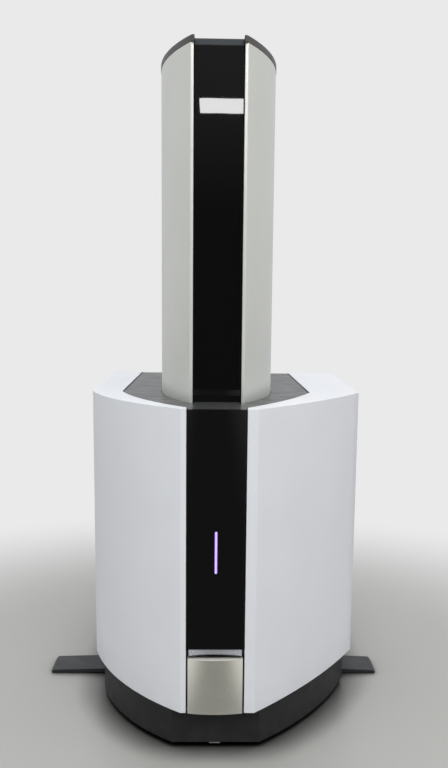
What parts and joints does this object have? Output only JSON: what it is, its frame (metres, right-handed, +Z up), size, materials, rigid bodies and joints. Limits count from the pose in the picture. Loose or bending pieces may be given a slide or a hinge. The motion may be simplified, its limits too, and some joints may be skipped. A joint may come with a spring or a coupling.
{
  "type": "mass spectrometer",
  "caption": "Benchtop linear time-of-flight mass spectrometer: white body with dark deck, silver flight tower, gloss black fascia with light bar, drop-down sample door and stabiliser feet.",
  "frame": {"origin": "on the bench, under the middle of the whole machine's box", "axes": "+X to the viewer's right, +Y to the back, +Z up; the sample door faces -Y"},
  "size_m": [0.6, 0.745, 1.055],
  "materials": {
    "white_cover": "fine matt white powder coat",
    "deck_grey": "mid grey textured paint",
    "gloss_black": "deep gloss black",
    "light_bar": "lilac lit diffuser",
    "circuit_board": "green circuit board",
    "door_silver": "satin champagne metallic",
    "lip_silver": "satin silver",
    "satin_silver": "bead-blasted satin silver",
    "charcoal": "charcoal textured",
    "cap_grey": "dark warm grey textured",
    "matte_black": "matt black",
    "foot_grey": "dark grey powder coat",
    "rubber": "black rubber",
    "steel": "plain steel",
    "stainless": "turned stainless steel",
    "zinc_sheet": "zinc-plated sheet steel",
    "raw_alloy": "machined aluminium",
    "rear_grey": "light grey powder coat",
    "ceramic": "unglazed alumina",
    "window_glass": "polished fused silica"
  },
  "bodies": {
    "cabinet": {"left_cover": "white_cover", "right_cover": "white_cover", "deck": "deck_grey", "front_fascia": "gloss_black", "light_guide": "light_bar", "light_board": "circuit_board", "door_pin": "steel", "loading_frame": "matte_black", "door_catches": "steel", "finger_scoop": "lip_silver", "tower_left_panel": "satin_silver", "tower_right_panel": "satin_silver", "tower_front_strip": "gloss_black", "tower_rear_cover": "charcoal", "tower_brackets": "raw_alloy", "tower_base": "zinc_sheet", "tower_cap": "cap_grey", "base_plinth": "charcoal", "chassis_plate": "zinc_sheet", "rubber_feet": "rubber", "stabiliser_left": "foot_grey", "stabiliser_right": "foot_grey", "stabiliser_screws": "steel", "frame": "zinc_sheet", "chamber_supports": "rubber", "vacuum_chamber": "raw_alloy", "chamber_lid": "raw_alloy", "laser_window": "window_glass", "lid_bolts": "steel", "flight_tube": "stainless", "detector": "stainless", "insulator_posts": "ceramic", "electrodes": "stainless", "gate_valve": "raw_alloy", "stage_base": "raw_alloy", "turbo_pump": "stainless", "backing_pipe": "stainless", "laser_head": "matte_black", "mirror_mount": "raw_alloy", "sample_camera": "matte_black", "hv_supply": "zinc_sheet", "mains_supply": "zinc_sheet", "board_panel": "raw_alloy", "digitiser_board": "circuit_board", "control_board": "circuit_board", "rear_panel": "rear_grey", "fan_frames": "matte_black", "fan_guards": "steel", "mains_inlet": "matte_black", "data_ports": "stainless", "rear_screws": "steel"},
    "door": {"sample_door": "door_silver"},
    "gate": {"gate_blade": "stainless"},
    "y_stage": {"y_carriage": "zinc_sheet"},
    "x_stage": {"x_carriage": "raw_alloy", "target_slide": "stainless"},
    "turbo_rotor": {"turbo_rotor": "raw_alloy"},
    "left_fan": {"fan_rotor_left": "matte_black"},
    "right_fan": {"fan_rotor_right": "matte_black"},
    "rocker": {"power_switch": "matte_black"}
  },
  "joints": [
    {"name": "door_hinge", "type": "hinge", "parent": "cabinet", "child": "door", "pos_m": [0, -0.3625, 0.068], "axis": [1, 0, 0], "range_deg": [0, 80]},
    {"name": "gate_lift", "type": "slide", "parent": "cabinet", "child": "gate", "axis": [0, 0, 1], "range_m": [0, 0.036]},
    {"name": "stage_y", "type": "slide", "parent": "cabinet", "child": "y_stage", "axis": [0, 1, 0], "range_m": [-0.14, 0.04]},
    {"name": "stage_x", "type": "slide", "parent": "y_stage", "child": "x_stage", "axis": [1, 0, 0], "range_m": [-0.022, 0.022]},
    {"name": "turbo_spin", "type": "hinge", "parent": "cabinet", "child": "turbo_rotor", "pos_m": [0, 0.0925, 0.16], "axis": [0, 1, 0], "continuous": true},
    {"name": "left_fan_spin", "type": "hinge", "parent": "cabinet", "child": "left_fan", "pos_m": [-0.11, 0.3005, 0.4], "axis": [0, 1, 0], "continuous": true},
    {"name": "right_fan_spin", "type": "hinge", "parent": "cabinet", "child": "right_fan", "pos_m": [0.11, 0.3005, 0.4], "axis": [0, 1, 0], "continuous": true},
    {"name": "rocker_turn", "type": "hinge", "parent": "cabinet", "child": "rocker", "pos_m": [-0.104, 0.3105, 0.13], "axis": [1, 0, 0], "range_deg": [-16, 0]}
  ]
}
